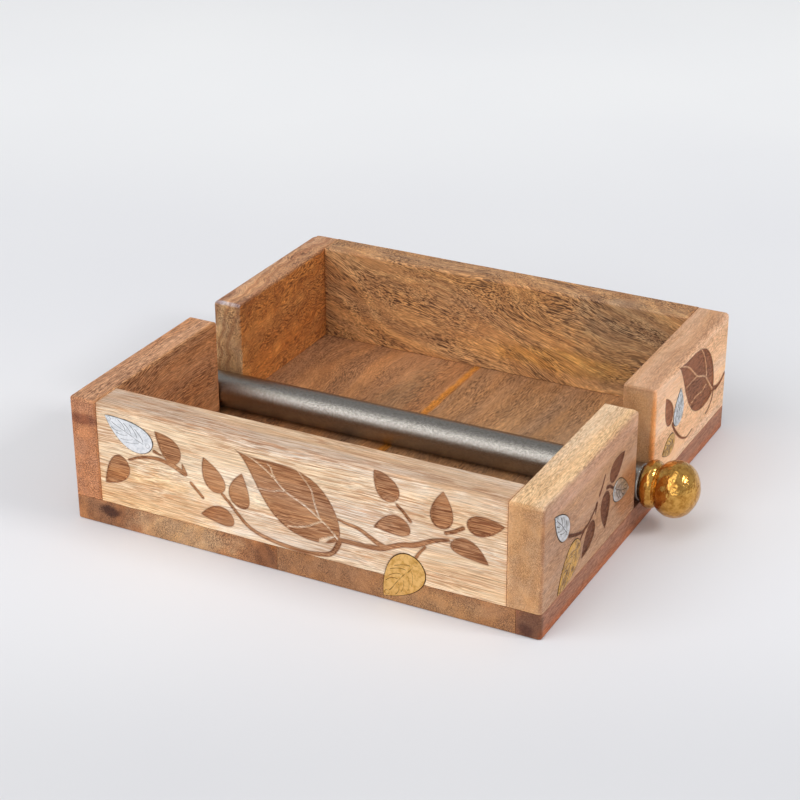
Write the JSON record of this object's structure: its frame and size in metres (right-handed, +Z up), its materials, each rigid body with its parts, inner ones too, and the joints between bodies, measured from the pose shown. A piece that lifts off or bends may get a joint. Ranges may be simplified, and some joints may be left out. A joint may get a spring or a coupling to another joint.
{
  "type": "napkin holder",
  "caption": "Open wooden tray that holds square napkins flat under a loose steel weight bar with a round gilded knob at each end.",
  "frame": {"origin": "middle of the underside of the base, on the surface that the tray stands on", "axes": "+X to the right along the front, +Y from front to back, +Z up; the bar lies along X, less than a degree askew"},
  "size_m": [0.2582, 0.2024, 0.056],
  "materials": {
    "base_boards": "oiled, open grain",
    "edge_strip": "oiled, open grain",
    "front_board": "pale, oiled, engraved sprigs",
    "back_board": "oiled, open grain",
    "left_end_boards": "oiled, open grain",
    "right_end_boards": "oiled, engraved sprigs",
    "aluminium_leaf": "bright, embossed veins",
    "brass_leaf": "polished, embossed veins",
    "weight_bar": "dark gunmetal, fine grainy skin",
    "gilded_knob": "antique gold leaf, finely dimpled",
    "steel_stud": "plain threaded rod",
    "steel_pin": "plain wire"
  },
  "bodies": {
    "tray": {"base_board_left": "base_boards", "base_board_middle": "base_boards", "base_edge_strip": "edge_strip", "front_wall": "front_board", "back_wall": "back_board", "left_front_wall": "left_end_boards", "left_rear_wall": "left_end_boards", "right_front_wall": "right_end_boards", "right_rear_wall": "right_end_boards", "front_silver_leaf": "aluminium_leaf", "front_brass_leaf": "brass_leaf", "back_silver_leaf": "aluminium_leaf", "back_brass_leaf": "brass_leaf", "right_front_silver_leaf": "aluminium_leaf", "right_front_small_leaf": "aluminium_leaf", "right_front_brass_leaf": "brass_leaf", "right_rear_silver_leaf": "aluminium_leaf", "right_rear_brass_leaf": "brass_leaf", "left_rear_silver_leaf": "aluminium_leaf", "left_rear_small_leaf": "aluminium_leaf", "left_rear_brass_leaf": "brass_leaf", "left_front_silver_leaf": "aluminium_leaf", "left_front_brass_leaf": "brass_leaf", "panel_pins": "steel_pin"},
    "bar": {"weight_bar": "weight_bar", "left_knob": "gilded_knob", "right_knob": "gilded_knob", "left_stud": "steel_stud", "right_stud": "steel_stud"}
  },
  "joints": [
    {"name": "bar_lift", "type": "slide", "parent": "tray", "child": "bar", "axis": [0, 0, 1], "range_m": [0, 0.06]}
  ]
}
